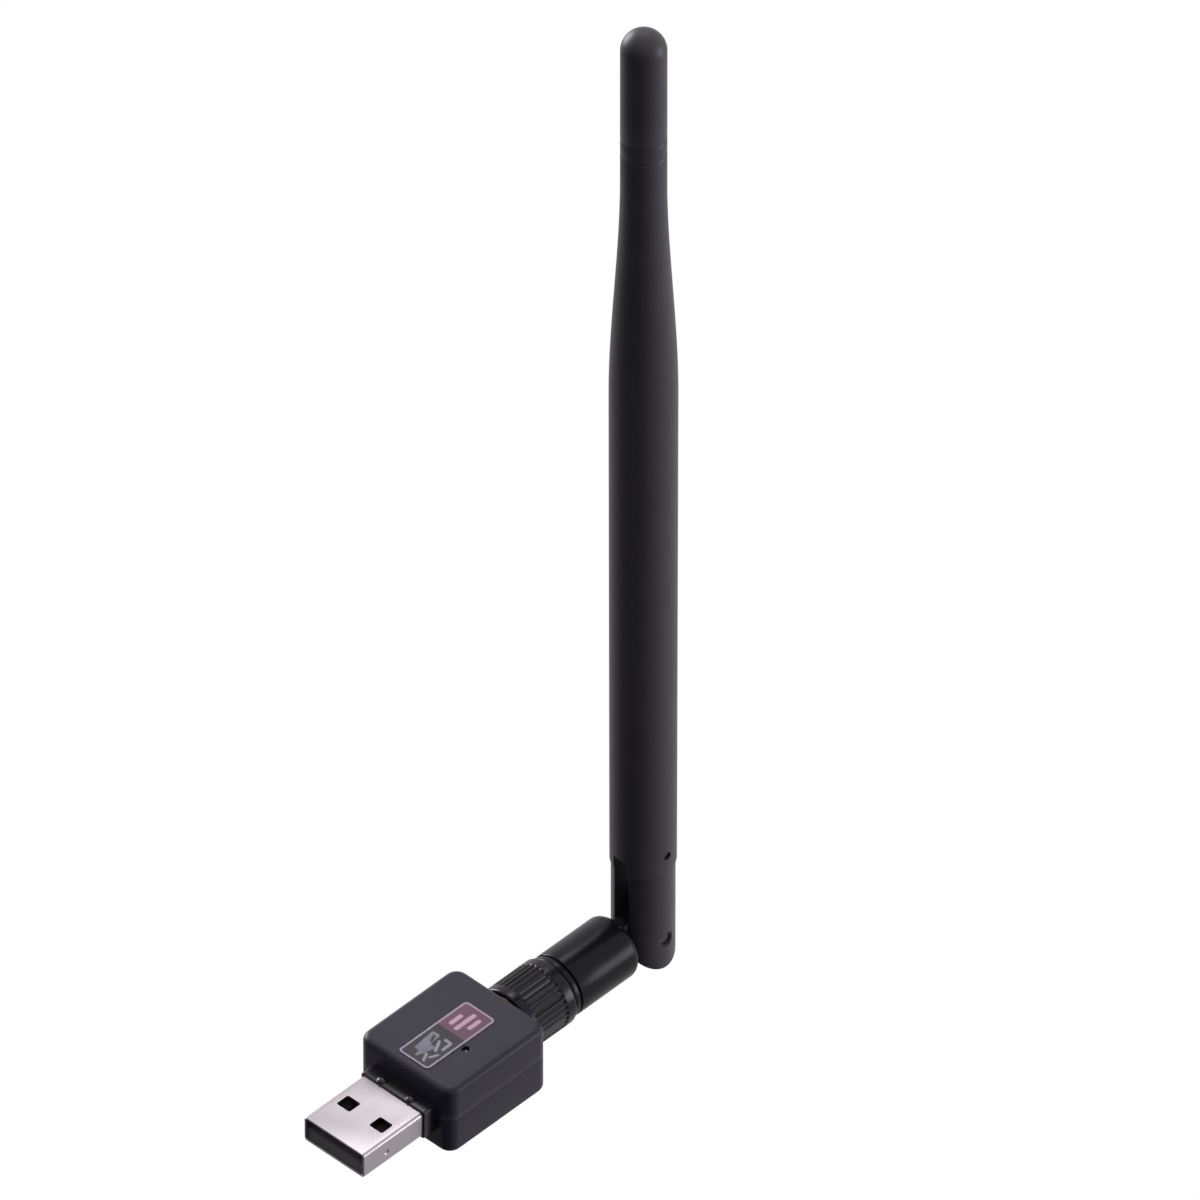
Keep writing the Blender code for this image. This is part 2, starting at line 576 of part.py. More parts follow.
def antenna_sheath(axis):
    outer = arc(NECK_RADIUS, (0.0, TIP_CENTRE), 0, 90, 8)
    for middle in reversed(NECK_GROOVES):
        outer += [(NECK_RADIUS, middle + 0.35), (NECK_RADIUS - 0.15, middle + 0.2),
                  (NECK_RADIUS - 0.15, middle - 0.2), (NECK_RADIUS, middle - 0.35)]
    steps = 14
    for step in range(steps + 1):
        height = SHOULDER_END + (SHOULDER_START - SHOULDER_END) * step / steps
        outer.append((sheath_radius(height), height))
    rim = 0.25
    outer += [(SHEATH_RADIUS, SHEATH_START + rim), (SHEATH_RADIUS - rim, SHEATH_START)]
    bore, neck_bore = SPIGOT_RADIUS + FIT, NECK_RADIUS - 0.9
    inner = [(bore, SHEATH_START), (bore, SHOULDER_START - 1), (neck_bore, SHOULDER_END - 4),
             (neck_bore, TIP_CENTRE - 1), (0.0, TIP_CENTRE - 1)]
    sheath = place("antenna_sheath", turned(outer + inner, "Z"), SOFT_BLACK, axis)
    half = SLOT_WIDTH / 2
    notch = block((-half, -8, SHEATH_START - 1), (half, 8, SLOT_ROOF))
    nub_hole = rod(NUB_RADIUS + 0.1, 2.0, 8.0, "X", (0.0, NUB_HEIGHT), 20)
    return cut(sheath, notch, nub_hole)


def antenna_coax(axis):
    """Cable from the hinge to the aerial; it starts where the barrel's cable ends, at the tongue's rim."""
    route = [(0, -1.95, TONGUE_RADIUS + 0.25), (0, -1.9, 7.0), (0, -0.6, 11.5), (0, 0, 15.5), (0, 0, 30.0),
             (0, 0, 59.0)]
    return place("antenna_coax", wire(eased(route, 5), COAX_RADIUS), CABLE_GREY, axis, smooth=True)


def aerial(axis):
    """Brass sleeve over the cable's end and a wire with a phasing coil above it, centred by two spacers."""
    low, high, wall, hole = 30.0, 58.0, 0.3, COAX_RADIUS + 0.1
    profile = [(hole, high), (3.0, high), (3.0, low), (3.0 - wall, low), (3.0 - wall, high - wall), (hole, high - wall)]
    place("dipole_sleeve", turned(profile, "Z", 24), BRASS, axis)
    turns, points, coil_radius, pitch = 5, 12, 1.2, 1.4
    route = [(0, 0, 59.4), (0, 0, COIL_START - 2)]
    for step in range(turns * points + 1):
        angle = 2 * math.pi * step / points
        route.append((coil_radius * math.cos(angle), coil_radius * math.sin(angle), COIL_START + pitch * step / points))
    route += [(0, 0, COIL_START + turns * pitch + 2), (0, 0, TIP_CENTRE - 3)]
    place("radiator", wire(route, 0.35), BRASS, axis, smooth=True)
    place("lower_spacer", tube(SPIGOT_RADIUS - 0.1, 0.5, 66.0, 72.0, "Z", 24), FOAM, axis)
    place("upper_spacer", tube(NECK_RADIUS - 1.0, 0.5, 148.0, 154.0, "Z", 24), FOAM, axis)


def build():
    usb_plug_shell()
    plug_contacts(plug_insulator())
    plug_collar()
    housing_top()
    housing_bottom()
    label_plate()
    light_pipe()
    circuit_board()
    board_parts()
    socket_axis = pivot("socket_axis", (0.0, 0.0, AXIS_Z))
    for make in (jack_body, jack_insulator, jack_pin):
        make(socket_axis)
    nut_axis = pivot("nut_axis", (0.0, 0.0, AXIS_Z))
    for make in (coupling_sleeve, coupling_insert):
        make(nut_axis)
    swivel_axis = pivot("swivel_axis", (0.0, 0.0, AXIS_Z))
    for make in (retaining_ring, plug_ferrule, ferrule_insulator, centre_socket, swivel_collar,
                 swivel_barrel, barrel_coax):
        make(swivel_axis)
    fold_axis = pivot("fold_axis", (0.0, HINGE_Y, 0.0), swivel_axis)
    for make in (hinge_pin, antenna_fork, antenna_sheath, antenna_coax, aerial):
        make(fold_axis)


clear_scene()
PARTS = new_collection("usb_wifi_adapter")
CUTTERS = new_collection("cutters")
CUTTERS.hide_render = True
STEEL = material("brushed_steel", (0.62, 0.6, 0.6), 0.3, 1.0)
BRASS = material("brass", (0.75, 0.56, 0.26), 0.3, 1.0)
GOLD = material("gold_plate", (0.85, 0.62, 0.25), 0.25, 1.0)
CASE_BLACK = material("case_black", (0.035, 0.034, 0.042), 0.5)
SOFT_BLACK = material("soft_black", (0.02, 0.02, 0.023), 0.55)
GLOSS_BLACK = material("gloss_black", (0.015, 0.015, 0.018), 0.35)
WHITE_PLASTIC = material("white_plastic", (0.75, 0.75, 0.72), 0.5)
LABEL_PRINT = material("label_print", (0.3, 0.05, 0.08), 0.4)
SMOKED = material("smoked_plastic", (0.01, 0.01, 0.012), 0.15)
BOARD_GREEN = material("board_green", (0.02, 0.12, 0.05), 0.4)
CHIP_BLACK = material("chip_black", (0.02, 0.02, 0.02), 0.6)
CERAMIC = material("ceramic_tan", (0.5, 0.36, 0.22), 0.5)
CABLE_GREY = material("cable_grey", (0.12, 0.12, 0.12), 0.5)
FOAM = material("foam_white", (0.7, 0.7, 0.68), 0.9)
build()
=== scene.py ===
import json
import math

import bmesh
import bpy
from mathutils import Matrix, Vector


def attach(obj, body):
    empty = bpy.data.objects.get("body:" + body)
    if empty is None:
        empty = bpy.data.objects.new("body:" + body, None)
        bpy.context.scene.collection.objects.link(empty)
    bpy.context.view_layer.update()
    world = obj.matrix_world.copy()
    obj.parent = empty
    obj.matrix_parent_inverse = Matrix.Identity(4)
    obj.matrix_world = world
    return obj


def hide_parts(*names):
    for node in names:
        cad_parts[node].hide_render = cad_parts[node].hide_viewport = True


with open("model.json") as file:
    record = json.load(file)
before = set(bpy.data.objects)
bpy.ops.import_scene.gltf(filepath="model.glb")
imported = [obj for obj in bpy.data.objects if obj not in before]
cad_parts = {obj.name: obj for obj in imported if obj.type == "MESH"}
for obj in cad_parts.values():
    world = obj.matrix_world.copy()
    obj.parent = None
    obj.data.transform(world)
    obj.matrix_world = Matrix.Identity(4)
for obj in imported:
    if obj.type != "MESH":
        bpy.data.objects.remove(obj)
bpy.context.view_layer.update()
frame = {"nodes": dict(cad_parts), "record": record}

MM = 0.001

# Sizes of the CAD, in millimetres
AXIS_Z, HINGE_Y = 0.5, 51.8
BODY_WIDTH, BODY_FRONT, BODY_BACK = 18.6, 1.8, 22.4
BODY_TOP, BODY_BOTTOM = 6.45, -5.85
UPRIGHT_RADIUS, RIM_RADIUS, WALL = 2.0, 1.0, 1.2
PLUG_WIDTH, PLUG_HEIGHT, PLUG_WALL, PLUG_BARE, PLUG_BURIED = 12.0, 4.5, 0.3, 12.7, 5.4
WINDOW_X, WINDOW_FROM_MOUTH, WINDOW_WIDTH, WINDOW_LENGTH = 3.25, 6.4, 2.6, 2.4
COLLAR_HALF_WIDTH, COLLAR_HALF_HEIGHT, COLLAR_FRONT, COLLAR_BACK = 6.33, 2.6, -0.5, 2.2
PIP_X, PIP_Y, PIP_RADIUS, PIP_FLATNESS = 2.85, 0.3, 0.8, 0.58
LABEL_X, LABEL_Y, LABEL_WIDTH, LABEL_LENGTH = 0.15, 10.65, 6.1, 14.4
LIGHT_X, LIGHT_Y, LIGHT_RADIUS = 4.1, 10.5, 0.6
NUT_START, NUT_END, NUT_RADIUS = 22.9, 32.4, 5.5
RIDGE_START, RIDGE_END, RIDGE_COUNT, RIDGE_DEPTH = 24.4, 30.6, 36, 0.3
SWIVEL_RADIUS, SWIVEL_START, SWIVEL_END, SWIVEL_BORE = 5.1, 32.6, 33.6, 3.1
BARREL_RADIUS, BARREL_START, BARREL_END, BARREL_DOME = 5.12, 33.85, 46.2, 1.3
TONGUE_WIDTH, TONGUE_RADIUS, TONGUE_NECK = 2.7, 4.5, 3.8
FORK_RADIUS, FORK_DROP, PIN_RADIUS, SLOT_WIDTH, SLOT_ROOF = 4.7, 0.6, 1.0, 2.9, 16.0
SHEATH_START, SHEATH_RADIUS, SHOULDER_RADIUS, NECK_RADIUS = 13.4, 4.9, 5.03, 3.4
SHOULDER_START, SHOULDER_END, TIP_CENTRE = 105.0, 146.0, 171.4
NECK_GROOVES = (152.1, 154.9)
NUB_HEIGHT, NUB_RADIUS = 16.7, 0.55

# The stage, in metres, and the picture
FLOOR_HALF_SIDE, FLOOR_LEVEL = 60.0, -0.19
IMAGE_SIDE = 1200


# Node materials ---------------------------------------------------------------------------------------


def links(material):
    tree = material.node_tree

    def node(kind, **settings):
        made = tree.nodes.new(kind)
        for key, value in settings.items():
            if key in made.inputs:
                made.inputs[key].default_value = value
            else:
                setattr(made, key, value)
        return made

    def join(out, into):
        tree.links.new(out, into)

    def math_node(operation, first, second=None, third=None):
        made = tree.nodes.new("ShaderNodeMath")
        made.operation = operation
        for socket, value in zip(made.inputs, (first, second, third)):
            if value is None:
                continue
            if isinstance(value, (int, float)):
                socket.default_value = value
            else:
                tree.links.new(value, socket)
        return made.outputs[0]

    return node, join, math_node


def finish(name, base, roughness, metallic=0.0, specular=0.5, grain=900.0, depth=0.1, spread=0.08,
           wear=0.35, tint=None, bevel=0.0, stretch=(1.0, 1.0, 1.0)):
    """A procedural surface: mottled colour and roughness, fine grain as bump, and edges slightly worn."""
    made = bpy.data.materials.new(name)
    made.use_nodes = True
    node, join, calc = links(made)
    surface = made.node_tree.nodes["Principled BSDF"]
    surface.inputs["Metallic"].default_value = metallic
    surface.inputs["Specular IOR Level"].default_value = specular
    where = node("ShaderNodeTexCoord")
    scaled = node("ShaderNodeMapping")
    scaled.inputs["Scale"].default_value = stretch
    join(where.outputs["Object"], scaled.inputs["Vector"])
    cloud = node("ShaderNodeTexNoise", Scale=160.0, Detail=4.0, Roughness=0.6)
    fine = node("ShaderNodeTexNoise", Scale=grain * 4, Detail=3.0, Roughness=0.6)
    smudge = node("ShaderNodeTexNoise", Scale=420.0, Detail=2.0, Roughness=0.5)
    for noise in (cloud, fine, smudge):
        join(scaled.outputs["Vector"], noise.inputs["Vector"])
    geometry = node("ShaderNodeNewGeometry")
    worn = node("ShaderNodeMapRange")
    worn.inputs["From Min"].default_value = 0.52
    worn.inputs["From Max"].default_value = 0.62
    join(geometry.outputs["Pointiness"], worn.inputs["Value"])
    edge = calc("MULTIPLY", calc("MULTIPLY", worn.outputs["Result"], smudge.outputs["Fac"]), wear)
    mottled = node("ShaderNodeMix", data_type="RGBA")
    low = [channel * 0.82 for channel in base]
    high = [min(1.0, channel * 1.2) for channel in (tint or base)]
    mottled.inputs[6].default_value = (*low, 1.0)
    mottled.inputs[7].default_value = (*high, 1.0)
    join(cloud.outputs["Fac"], mottled.inputs[0])
    rubbed = node("ShaderNodeMix", data_type="RGBA")
    rubbed.inputs[7].default_value = (*[min(1.0, channel * 1.6 + 0.03) for channel in base], 1.0)
    join(edge, rubbed.inputs[0])
    join(mottled.outputs[2], rubbed.inputs[6])
    join(rubbed.outputs[2], surface.inputs["Base Color"])
    rough = calc("MULTIPLY_ADD", smudge.outputs["Fac"], spread, roughness - spread / 2)
    join(rough, surface.inputs["Roughness"])
    bump = node("ShaderNodeBump", Strength=depth, Distance=0.00004)
    join(fine.outputs["Fac"], bump.inputs["Height"])
    if bevel:
        rounding = node("ShaderNodeBevel")
        rounding.samples = 4
        rounding.inputs["Radius"].default_value = bevel * MM
        join(rounding.outputs["Normal"], bump.inputs["Normal"])
    join(bump.outputs["Normal"], surface.inputs["Normal"])
    return made


def label_finish():
    """A printed film: black ahead, dark red behind, generic bars and a thin pale border."""
    made = finish("label_print", (0.012, 0.011, 0.016), 0.4, grain=700, depth=0.06)
    node, join, calc = links(made)
    surface = made.node_tree.nodes["Principled BSDF"]
    where = node("ShaderNodeTexCoord")
    parts = node("ShaderNodeSeparateXYZ")
    join(where.outputs["Object"], parts.inputs["Vector"])
    across = calc("MULTIPLY_ADD", parts.outputs["X"], 1 / MM, -LABEL_X)
    along = calc("MULTIPLY_ADD", parts.outputs["Y"], 1 / MM, -LABEL_Y)
    blur = node("ShaderNodeTexNoise", Scale=1500.0, Detail=2.0)
    join(where.outputs["Object"], blur.inputs["Vector"])
    shake = calc("MULTIPLY_ADD", blur.outputs["Fac"], 0.16, -0.08)

    def bar(x, y, width, length, slant=0.0, corner=0.25):
        """1 inside a slanted rounded bar, falling to 0 just outside it."""
        slide = calc("MULTIPLY", calc("SUBTRACT", along, y), slant)
        shifted = calc("ADD", calc("SUBTRACT", across, x), slide)
        over_x = calc("MAXIMUM", calc("SUBTRACT", calc("ABSOLUTE", shifted), width / 2 - corner), 0.0)
        offset = calc("ABSOLUTE", calc("SUBTRACT", along, y))
        over_y = calc("MAXIMUM", calc("SUBTRACT", offset, length / 2 - corner), 0.0)
        reach = calc("SQRT", calc("ADD", calc("MULTIPLY", over_x, over_x), calc("MULTIPLY", over_y, over_y)))
        edge = calc("ADD", calc("SUBTRACT", reach, corner), shake)
        soft = node("ShaderNodeMapRange", interpolation_type="SMOOTHSTEP")
        soft.inputs["From Min"].default_value = 0.09
        soft.inputs["From Max"].default_value = -0.09
        join(edge, soft.inputs["Value"])
        return soft.outputs["Result"]

    def many(*bars):
        total = bars[0]
        for other in bars[1:]:
            total = calc("MAXIMUM", total, other)
        return total

    def over(below, mask, colour):
        mix = node("ShaderNodeMix", data_type="RGBA")
        join(mask, mix.inputs[0])
        join(below, mix.inputs[6])
        mix.inputs[7].default_value = (*colour, 1.0)
        return mix.outputs[2]

    red = calc("GREATER_THAN", calc("ADD", along, calc("MULTIPLY", shake, 2.0)), 0.9)
    frame_band = calc("SUBTRACT", bar(0, 0, LABEL_WIDTH - 0.15, LABEL_LENGTH - 0.15, corner=0.7),
                      bar(0, 0, LABEL_WIDTH - 0.75, LABEL_LENGTH - 0.75, corner=0.45))
    grey_blob = many(bar(-1.1, -3.4, 1.5, 5.4, 0.1), bar(-0.2, -4.3, 1.2, 2.6, -0.3))
    grey_marks = many(bar(0.9, -5.5, 0.5, 1.7, 0.5), bar(1.7, -4.5, 0.5, 1.5, -0.4),
                      bar(0.6, -2.6, 0.55, 2.2, 0.5), bar(1.7, -1.9, 0.5, 1.9), bar(1.1, -0.9, 1.5, 0.5))
    dark_marks = many(bar(-1.3, -5.6, 1.3, 1.1, 0.3), bar(-1.0, -1.9, 0.45, 1.5, 0.4))
    red_bars = many(bar(-1.35, 3.3, 0.7, 2.6), bar(0.0, 3.8, 0.75, 4.3), bar(1.35, 4.3, 0.7, 2.6))
    clouds = node("ShaderNodeTexNoise", Scale=420.0, Detail=3.0)
    join(where.outputs["Object"], clouds.inputs["Vector"])
    ground = node("ShaderNodeMix", data_type="RGBA")
    ground.inputs[6].default_value = (0.012, 0.011, 0.018, 1.0)
    ground.inputs[7].default_value = (0.13, 0.05, 0.085, 1.0)
    join(red, ground.inputs[0])
    patchy = calc("MULTIPLY", grey_blob, calc("MULTIPLY_ADD", clouds.outputs["Fac"], 0.6, 0.5))
    colour = over(ground.outputs[2], patchy, (0.21, 0.21, 0.27))
    colour = over(colour, dark_marks, (0.014, 0.013, 0.02))
    colour = over(colour, grey_marks, (0.27, 0.27, 0.33))
    colour = over(colour, red_bars, (0.52, 0.32, 0.42))
    colour = over(colour, frame_band, (0.36, 0.31, 0.38))
    join(colour, surface.inputs["Base Color"])
    return made


CASE = finish("case_black", (0.015, 0.0128, 0.026), 0.44, specular=0.36, grain=850, depth=0.22, bevel=0.05)
SOFT = finish("soft_black", (0.032, 0.0312, 0.0375), 0.46, specular=0.5, grain=500, depth=0.06, wear=0.2)
GLOSS = finish("gloss_black", (0.005, 0.005, 0.007), 0.27, specular=0.19, grain=500, depth=0.05, bevel=0.12)
COLLAR = finish("collar_black", (0.010, 0.009, 0.013), 0.28, specular=0.55, grain=600, depth=0.08, bevel=0.1)
STEEL = finish("plug_steel", (0.47, 0.435, 0.45), 0.3, 1.0, grain=260, depth=0.08, spread=0.1, wear=0.1,
               tint=(0.5, 0.465, 0.48), bevel=0.06, stretch=(1.0, 0.12, 1.0))
LABEL = label_finish()
LENS = finish("smoked_plastic", (0.004, 0.003, 0.004), 0.16, grain=300, depth=0.03)
WHITE = finish("white_plastic", (0.5, 0.5, 0.5), 0.5, grain=600, depth=0.1)
GOLD = finish("gold_plate", (0.85, 0.6, 0.25), 0.24, 1.0, grain=300, depth=0.05)
BRASS = finish("brass", (0.72, 0.54, 0.26), 0.3, 1.0, grain=350, depth=0.1)
BOARD = finish("board_green", (0.02, 0.11, 0.05), 0.4, grain=700, depth=0.12)
CHIP = finish("chip_black", (0.018, 0.018, 0.02), 0.55, grain=900, depth=0.25)
CERAMIC = finish("ceramic_tan", (0.45, 0.32, 0.2), 0.5, grain=600, depth=0.1)
CABLE = finish("cable_grey", (0.11, 0.11, 0.115), 0.45, grain=500, depth=0.08)
FOAM = finish("foam_white", (0.68, 0.68, 0.66), 0.9, grain=260, depth=0.6)
# Painted shade: the plug's tongue is white plastic, given a dark grey here to stand for the shade deep inside
# the plug's mouth.
TONGUE_PAINTED_SHADE = finish("tongue_painted_shade", (0.09, 0.085, 0.095), 0.45, grain=600, depth=0.1)
NUT = finish("nut_black", (0.006, 0.0055, 0.008), 0.24, specular=0.27, grain=500, depth=0.06, wear=0.5)
FORK = finish("fork_black", (0.022, 0.021, 0.028), 0.4, specular=0.5, grain=500, depth=0.05, bevel=0.12)
CAD_FINISHES = {
    "plug_steel": STEEL, "gold_plate": GOLD, "brass": BRASS, "case_black": CASE, "soft_black": SOFT,
    "gloss_black": GLOSS, "white_plastic": WHITE, "label_print": LABEL, "smoked_plastic": LENS,
    "board_green": BOARD, "chip_black": CHIP, "ceramic_tan": CERAMIC, "cable_grey": CABLE, "foam_white": FOAM,
}


# Shapes -----------------------------------------------------------------------------------------------


def piece(name, shape, material, body, *nodes, sharp=35.0):
    """Puts a bmesh made in millimetres into the scene, riding on a body and standing for CAD nodes."""
    bmesh.ops.remove_doubles(shape, verts=shape.verts, dist=1e-5)
    bmesh.ops.recalc_face_normals(shape, faces=shape.faces)
    bmesh.ops.scale(shape, vec=(MM, MM, MM), verts=shape.verts)
    mesh = bpy.data.meshes.new(name)
    shape.to_mesh(mesh)
    shape.free()
    mesh.materials.append(material)
    for face in mesh.polygons:
        face.use_smooth = True
    mesh.set_sharp_from_angle(angle=math.radians(sharp))
    obj = bpy.data.objects.new(name, mesh)
    bpy.context.scene.collection.objects.link(obj)
    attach(obj, body)
    if nodes:
        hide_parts(*nodes)
    return obj


def rings(loops, closed_ends=(True, True), shape=None):
    """Skins a run of closed loops, each a list of points, with a face over each end that is closed."""
    shape = shape or bmesh.new()
    rows = [[shape.verts.new(point) for point in loop] for loop in loops]
    for first, second in zip(rows, rows[1:]):
        for i in range(len(first)):
            j = (i + 1) % len(first)
            shape.faces.new((first[i], first[j], second[j], second[i]))
    for ended, row in zip(closed_ends, (rows[0], rows[-1])):
        if ended:
            shape.faces.new(row)
    return shape


def circle(radius, along, axis, steps, centre=(0.0, 0.0)):
    """Points of a circle about a line along `axis`; centre is its other two coordinates in X, Y, Z order."""
    points = []
    for i in range(steps):
        angle = 2 * math.pi * i / steps
        a, b = centre[0] + radius * math.cos(angle), centre[1] + radius * math.sin(angle)
        points.append({"X": (along, a, b), "Y": (a, along, b), "Z": (a, b, along)}[axis])
    return points


def lathe(profile, axis="Y", centre=(0.0, 0.0), steps=128, ends=(True, True), shape=None):
    return rings([circle(max(r, 0.01), along, axis, steps, centre) for r, along in profile], ends, shape)


def fillet(radius, centre, start, end, steps=6):
    """(radius, position) points of an arc, angles in degrees from the axis towards the outside."""
    angles = [math.radians(start + (end - start) * i / steps) for i in range(steps + 1)]
    return [(centre[0] + radius * math.sin(a), centre[1] + radius * math.cos(a)) for a in angles]


def rounded(half_x, half_y, corner, steps=8):
    """Corners of a rounded rectangle, anticlockwise, as (x, y) pairs about its centre."""
    points = []
    for quarter, (sx, sy) in enumerate(((1, 1), (-1, 1), (-1, -1), (1, -1))):
        for i in range(steps + 1):
            angle = math.pi / 2 * (quarter + i / steps)
            points.append((sx * (half_x - corner) + corner * math.cos(angle),
                           sy * (half_y - corner) + corner * math.sin(angle)))
    return points


def cut(obj, shape, operation="DIFFERENCE"):
    bmesh.ops.recalc_face_normals(shape, faces=shape.faces)
    bmesh.ops.scale(shape, vec=(MM, MM, MM), verts=shape.verts)
    mesh = bpy.data.meshes.new("cutter")
    shape.to_mesh(mesh)
    shape.free()
    cutter = bpy.data.objects.new(obj.name + "_cutter", mesh)
    bpy.context.scene.collection.objects.link(cutter)
    modifier = obj.modifiers.new("Cut", "BOOLEAN")
    modifier.solver = "EXACT"
    modifier.operation = operation
    modifier.object = cutter
    bpy.context.view_layer.update()
    evaluated = obj.evaluated_get(bpy.context.evaluated_depsgraph_get())
    made = bpy.data.meshes.new_from_object(evaluated)
    obj.modifiers.clear()
    obj.data = made
    bpy.data.objects.remove(cutter, do_unlink=True)


def smooth(obj, sharp=30.0):
    for face in obj.data.polygons:
        face.use_smooth = True
    obj.data.set_sharp_from_angle(angle=math.radians(sharp))


def slab(low, high, corner, axis="Z", edge=0.0, shape=None, corner_steps=8):
    """A rounded rectangle run along `axis` from low to high corners, with its end rims rounded by `edge`."""
    order = {"Z": (0, 1, 2), "Y": (0, 2, 1), "X": (1, 2, 0)}[axis]
    a, b, c = order
    half = [(high[i] - low[i]) / 2 for i in range(3)]
    middle = [(high[i] + low[i]) / 2 for i in range(3)]
    stations = [(0.0, low[c]), (0.0, high[c])]
    if edge:
        angles = [math.pi / 2 * i / 4 for i in range(5)]
        stations = [(edge - edge * math.sin(t), low[c] + edge - edge * math.cos(t)) for t in angles]
        stations += [(edge - edge * math.sin(t), high[c] - edge + edge * math.cos(t))
                     for t in reversed(angles)]
    loops = []
    for inset, along in stations:
        loop = []
        for x, y in rounded(half[a] - inset, half[b] - inset, max(corner - inset, 0.02), corner_steps):
            point = [0.0, 0.0, 0.0]
            point[a], point[b], point[c] = middle[a] + x, middle[b] + y, along
            loop.append(tuple(point))
        loops.append(loop)
    return rings(loops, shape=shape)


# USB plug ---------------------------------------------------------------------------------------------


def sleeve_loop(grow, y, corner):
    return [(x, y, z) for x, z in rounded(PLUG_WIDTH / 2 + grow, PLUG_HEIGHT / 2 + grow, corner)]


def plug():
    radius, lip = 0.6, 0.09
    loops = [sleeve_loop(0.0, PLUG_BURIED, radius)]
    for y in (0.0, -6.0, -PLUG_BARE + 0.6):
        loops.append(sleeve_loop(0.0, y, radius))
    for i in range(5):
        angle = math.pi * i / 4
        grow = -PLUG_WALL / 2 + PLUG_WALL / 2 * math.cos(angle) - 0.02
        y = -PLUG_BARE + lip - lip * math.sin(angle)
        loops.append(sleeve_loop(grow, y, radius - PLUG_WALL / 2 + PLUG_WALL / 2 * math.cos(angle)))
    loops += [sleeve_loop(-PLUG_WALL, y, 0.3) for y in (-PLUG_BARE + 0.6, -6.0, PLUG_BURIED)]
    shape = rings(loops, (False, False))
    shape.verts.ensure_lookup_table()
    count = len(loops[0])
    first, last = shape.verts[:count], shape.verts[-count:]
    for i in range(count):
        j = (i + 1) % count
        shape.faces.new((first[j], first[i], last[i], last[j]))
    shell = piece("plug_shell_metal", shape, STEEL, "adapter", "usb_plug_shell")
    windows = -PLUG_BARE + WINDOW_FROM_MOUTH
    across, along = WINDOW_WIDTH / 2, WINDOW_LENGTH / 2
    for x in (-WINDOW_X, WINDOW_X):
        for low, high in ((1.2, 3.0), (-3.0, -1.2)):
            cut(shell, slab((x - across, windows - along, low),
                            (x + across, windows + along, high), 0.3, "Z"))
    cut(shell, slab((-0.04, -PLUG_BARE - 1, -3.0), (0.04, 6.5, -1.9), 0.01, "Z", corner_steps=1))
    for side in (-1, 1):
        dimple = bmesh.new()
        bmesh.ops.create_uvsphere(dimple, u_segments=32, v_segments=20, radius=0.7)
        bmesh.ops.translate(dimple, vec=(side * (PLUG_WIDTH / 2 + 0.48), -8.0, -0.2), verts=dimple.verts)
        cut(shell, dimple)
    smooth(shell)


def collar():
    low = (-COLLAR_HALF_WIDTH, COLLAR_FRONT, -COLLAR_HALF_HEIGHT)
    shape = slab(low, (COLLAR_HALF_WIDTH, COLLAR_BACK, COLLAR_HALF_HEIGHT), 0.5, "Y", 0.12)
    for x in (-PIP_X, PIP_X):
        pip = bmesh.ops.create_uvsphere(shape, u_segments=32, v_segments=18, radius=PIP_RADIUS)["verts"]
        bmesh.ops.scale(shape, vec=(1.0, 1.0, PIP_FLATNESS), verts=pip)
        bmesh.ops.translate(shape, vec=(x, PIP_Y, COLLAR_HALF_HEIGHT), verts=pip)
    piece("plug_collar_moulding", shape, COLLAR, "adapter", "plug_collar")


# Casing -----------------------------------------------------------------------------------------------


def casing_half(name, node, sign):
    """One moulded half: its inner lip, the small chamfer at the seam, the wall and the rim."""
    level = BODY_TOP if sign > 0 else BODY_BOTTOM
    seam = AXIS_Z + sign * 0.03
    middle = (BODY_FRONT + BODY_BACK) / 2
    stations = [(WALL, seam + sign * 1.0), (WALL, seam), (0.09, seam), (0.03, seam + sign * 0.03),
                (0.0, seam + sign * 0.09)]
    stations += [(0.0, seam + (level - sign * RIM_RADIUS - seam) * part) for part in (0.35, 0.7)]
    for i in range(9):
        angle = math.pi / 2 * i / 8
        stations.append((RIM_RADIUS - RIM_RADIUS * math.cos(angle),
                         level - sign * (RIM_RADIUS - RIM_RADIUS * math.sin(angle))))
    loops = []
    for inset, z in stations:
        corner = UPRIGHT_RADIUS - inset * 0.8
        half_y = (BODY_BACK - BODY_FRONT) / 2 - inset
        loops.append([(x, middle + y, z) for x, y in rounded(BODY_WIDTH / 2 - inset, half_y, corner, 10)])
    half = piece(name, rings(loops, (False, True)), CASE, "adapter", node)
    if sign > 0:
        x, y = LABEL_X, LABEL_Y
        width, length = LABEL_WIDTH / 2 + 0.06, LABEL_LENGTH / 2 + 0.06
        solid = half.modifiers.new("Thick", "SOLIDIFY")
        solid.thickness = 0.5 * MM
        solid.offset = -1
        cut(half, slab((x - width, y - length, BODY_TOP - 0.09), (x + width, y + length, BODY_TOP + 1), 0.76))
        hole = lathe([(LIGHT_RADIUS, BODY_TOP - 2.0), (LIGHT_RADIUS, BODY_TOP - 0.08),
                      (LIGHT_RADIUS + 0.12, BODY_TOP + 0.02), (LIGHT_RADIUS + 0.12, BODY_TOP + 1)], "Z",
                     (LIGHT_X, LIGHT_Y), 48)
        cut(half, hole)
        smooth(half)


